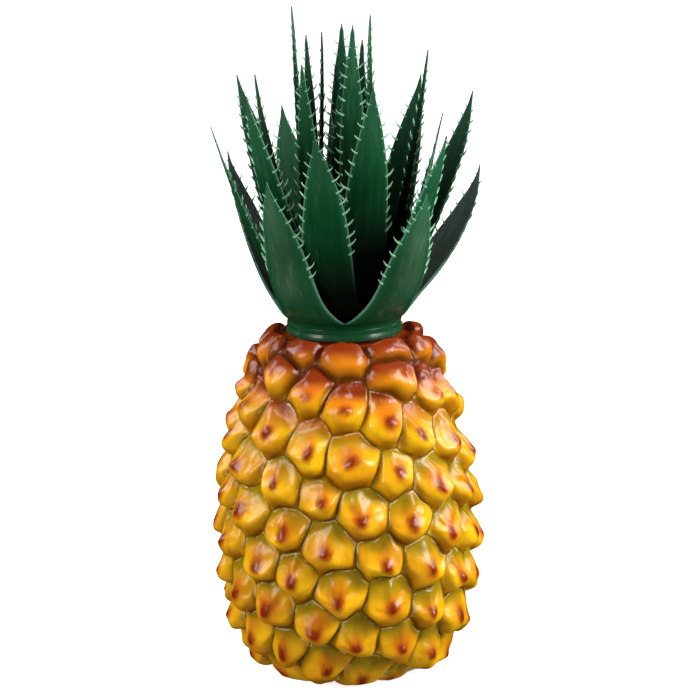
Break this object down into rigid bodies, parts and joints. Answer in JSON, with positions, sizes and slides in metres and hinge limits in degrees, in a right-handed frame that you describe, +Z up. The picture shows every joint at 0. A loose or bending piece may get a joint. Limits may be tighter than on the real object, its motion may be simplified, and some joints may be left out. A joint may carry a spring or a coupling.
{
  "type": "pineapple-shaped hand shaker",
  "caption": "Hollow moulded shaker in the shape of a pineapple, with a bumpy yellow shell of pellets, a neck stopper and a crown of spiny green leaf whorls that turns and pulls out.",
  "frame": {"origin": "on the body's axis, at the centre of the flat base", "axes": "+Z up along the body's axis towards the crown, -Y towards the front seen by the viewer, +X to the viewer's right"},
  "size_m": [0.0973, 0.0959, 0.2365],
  "materials": {
    "shell_skin": "moulded soft vinyl, painted golden yellow with olive creases, cream seam lines and red-brown tips, semi-gloss",
    "leaf_plastic": "moulded soft plastic, dark green, satin, fine lengthwise striations",
    "collar_plastic": "moulded green plastic, satin",
    "stopper_plastic": "natural white polyethylene, matte",
    "post_plastic": "dark green plastic, matte",
    "pellet_plastic": "plain brown plastic beads"
  },
  "bodies": {
    "shell": {"body_shell": "shell_skin"},
    "stopper": {"stopper": "stopper_plastic"},
    "crown": {"crown_collar": "collar_plastic", "crown_post": "post_plastic", "leaf_whorl_1": "leaf_plastic", "leaf_whorl_2": "leaf_plastic", "leaf_whorl_3": "leaf_plastic", "leaf_whorl_4": "leaf_plastic", "leaf_whorl_5": "leaf_plastic", "leaf_whorl_6": "leaf_plastic"},
    "pellets": {"pellet_01": "pellet_plastic", "pellet_02": "pellet_plastic", "pellet_03": "pellet_plastic", "pellet_04": "pellet_plastic", "pellet_05": "pellet_plastic", "pellet_06": "pellet_plastic", "pellet_07": "pellet_plastic", "pellet_08": "pellet_plastic", "pellet_09": "pellet_plastic", "pellet_10": "pellet_plastic", "pellet_11": "pellet_plastic", "pellet_12": "pellet_plastic", "pellet_13": "pellet_plastic", "pellet_14": "pellet_plastic", "pellet_15": "pellet_plastic", "pellet_16": "pellet_plastic", "pellet_17": "pellet_plastic", "pellet_18": "pellet_plastic", "pellet_19": "pellet_plastic", "pellet_20": "pellet_plastic"}
  },
  "joints": [
    {"name": "stopper_pull", "type": "slide", "parent": "shell", "child": "stopper", "axis": [0, 0, 1], "range_m": [0, 0.04]},
    {"name": "crown_turn", "type": "hinge", "parent": "stopper", "child": "crown", "pos_m": [0, 0, 0.1243], "axis": [0, 0, 1], "continuous": true},
    {"name": "pellet_rattle", "type": "slide", "parent": "shell", "child": "pellets", "axis": [0, 0, 1], "range_m": [0, 0.095]}
  ]
}
